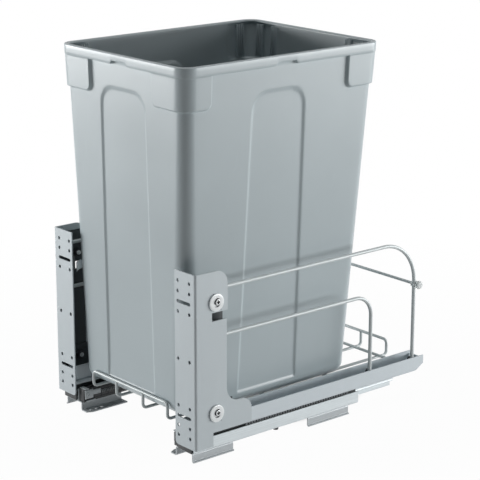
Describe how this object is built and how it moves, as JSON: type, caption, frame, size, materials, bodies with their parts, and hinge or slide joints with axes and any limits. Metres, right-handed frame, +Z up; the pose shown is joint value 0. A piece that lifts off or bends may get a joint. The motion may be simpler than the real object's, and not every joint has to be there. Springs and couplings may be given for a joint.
{
  "type": "pull-out waste unit",
  "caption": "Bottom-mount pull-out waste unit for a kitchen base cabinet: tapered grey bin in a wire cradle on ball-bearing slides, with slotted brackets for the cabinet door.",
  "frame": {"origin": "middle of the unit's footprint, on the cabinet floor that the feet stand on", "axes": "+Z up, -Y towards the cabinet door and the user, +X to the right seen from behind the door, which is the near side in the picture"},
  "size_m": [0.3044, 0.404, 0.4986],
  "materials": {
    "bracket_coat": "satin silver-grey coat",
    "channel_coat": "satin silver-grey coat",
    "slide_zinc": "bright zinc plate",
    "foot_zinc": "bright zinc plate",
    "cage_steel": "plain pressed steel",
    "ball_steel": "polished",
    "damper_case": "fine grain",
    "damper_tube": "plain",
    "fastener_zinc": "bright zinc plate",
    "fastener_dark": "black oxide",
    "bumper_rubber": "matt",
    "wire_chrome": "bright plate",
    "clip_plastic": "milky, translucent",
    "bin_plastic": "satin, fine grain"
  },
  "bodies": {
    "cabinet_side": {"front_foot_right": "foot_zinc", "front_foot_left": "foot_zinc", "rear_foot_right": "foot_zinc", "rear_foot_left": "foot_zinc", "cabinet_slide_right": "slide_zinc", "cabinet_slide_left": "slide_zinc", "soft_close_case_right": "damper_case", "soft_close_case_left": "damper_case", "damper_cylinder_right": "damper_tube", "damper_cylinder_left": "damper_tube", "damper_piston_right": "damper_tube", "damper_piston_left": "damper_tube", "soft_close_catch_right": "damper_case", "soft_close_catch_left": "damper_case", "foot_rivets": "fastener_zinc", "slide_bumpers": "bumper_rubber"},
    "middle_member_right": {"middle_slide_right": "slide_zinc"},
    "outer_race_right": {"outer_ball_cage_right": "cage_steel", "outer_balls_right": "ball_steel"},
    "inner_race_right": {"inner_ball_cage_right": "cage_steel", "inner_balls_right": "ball_steel"},
    "middle_member_left": {"middle_slide_left": "slide_zinc"},
    "outer_race_left": {"outer_ball_cage_left": "cage_steel", "outer_balls_left": "ball_steel"},
    "inner_race_left": {"inner_ball_cage_left": "cage_steel", "inner_balls_left": "ball_steel"},
    "carriage": {"drawer_slide_right": "slide_zinc", "drawer_slide_left": "slide_zinc", "side_channel_right": "channel_coat", "side_channel_left": "channel_coat", "post_right": "channel_coat", "post_left": "channel_coat", "adjuster_screws_right": "fastener_zinc", "adjuster_screws_left": "fastener_zinc", "adjuster_nuts_right": "fastener_zinc", "adjuster_nuts_left": "fastener_zinc", "upper_rail_right": "wire_chrome", "upper_rail_left": "wire_chrome", "lower_rail_right": "wire_chrome", "lower_rail_left": "wire_chrome", "wire_clip_right": "clip_plastic", "wire_clip_left": "clip_plastic", "catch_pin_right": "damper_tube", "catch_pin_left": "damper_tube", "cradle_middle_wire_right": "wire_chrome", "cradle_middle_wire_left": "wire_chrome", "post_rivets": "fastener_zinc", "rail_leg_screws": "fastener_dark", "rear_cross_wire": "wire_chrome", "cradle_outer_loop": "wire_chrome", "cradle_cross_wire_front": "wire_chrome", "cradle_cross_wire_second": "wire_chrome", "cradle_cross_wire_third": "wire_chrome", "cradle_cross_wire_rear": "wire_chrome"},
    "door_bracket_right": {"door_bracket_right": "bracket_coat"},
    "door_bracket_left": {"door_bracket_left": "bracket_coat"},
    "bin": {"waste_bin": "bin_plastic"}
  },
  "joints": [
    {"name": "pull_out", "type": "slide", "parent": "cabinet_side", "child": "carriage", "axis": [0, -1, 0], "range_m": [0, 0.34]},
    {"name": "middle_run_right", "type": "slide", "parent": "cabinet_side", "child": "middle_member_right", "axis": [0, -1, 0], "range_m": [0, 0.17]},
    {"name": "outer_race_run_right", "type": "slide", "parent": "cabinet_side", "child": "outer_race_right", "axis": [0, -1, 0], "range_m": [0, 0.085]},
    {"name": "inner_race_run_right", "type": "slide", "parent": "cabinet_side", "child": "inner_race_right", "axis": [0, -1, 0], "range_m": [0, 0.255]},
    {"name": "middle_run_left", "type": "slide", "parent": "cabinet_side", "child": "middle_member_left", "axis": [0, -1, 0], "range_m": [0, 0.17]},
    {"name": "outer_race_run_left", "type": "slide", "parent": "cabinet_side", "child": "outer_race_left", "axis": [0, -1, 0], "range_m": [0, 0.085]},
    {"name": "inner_race_run_left", "type": "slide", "parent": "cabinet_side", "child": "inner_race_left", "axis": [0, -1, 0], "range_m": [0, 0.255]},
    {"name": "door_height_right", "type": "slide", "parent": "carriage", "child": "door_bracket_right", "axis": [0, 0, 1], "range_m": [-0.003, 0.003]},
    {"name": "door_height_left", "type": "slide", "parent": "carriage", "child": "door_bracket_left", "axis": [0, 0, 1], "range_m": [-0.003, 0.003]},
    {"name": "bin_lift", "type": "slide", "parent": "carriage", "child": "bin", "axis": [0, 0, 1], "range_m": [0, 0.25]}
  ],
  "couplings": [
    {"joint": "middle_run_right", "follows": "pull_out", "ratio": 0.5},
    {"joint": "outer_race_run_right", "follows": "pull_out", "ratio": 0.25},
    {"joint": "inner_race_run_right", "follows": "pull_out", "ratio": 0.75},
    {"joint": "middle_run_left", "follows": "pull_out", "ratio": 0.5},
    {"joint": "outer_race_run_left", "follows": "pull_out", "ratio": 0.25},
    {"joint": "inner_race_run_left", "follows": "pull_out", "ratio": 0.75}
  ]
}
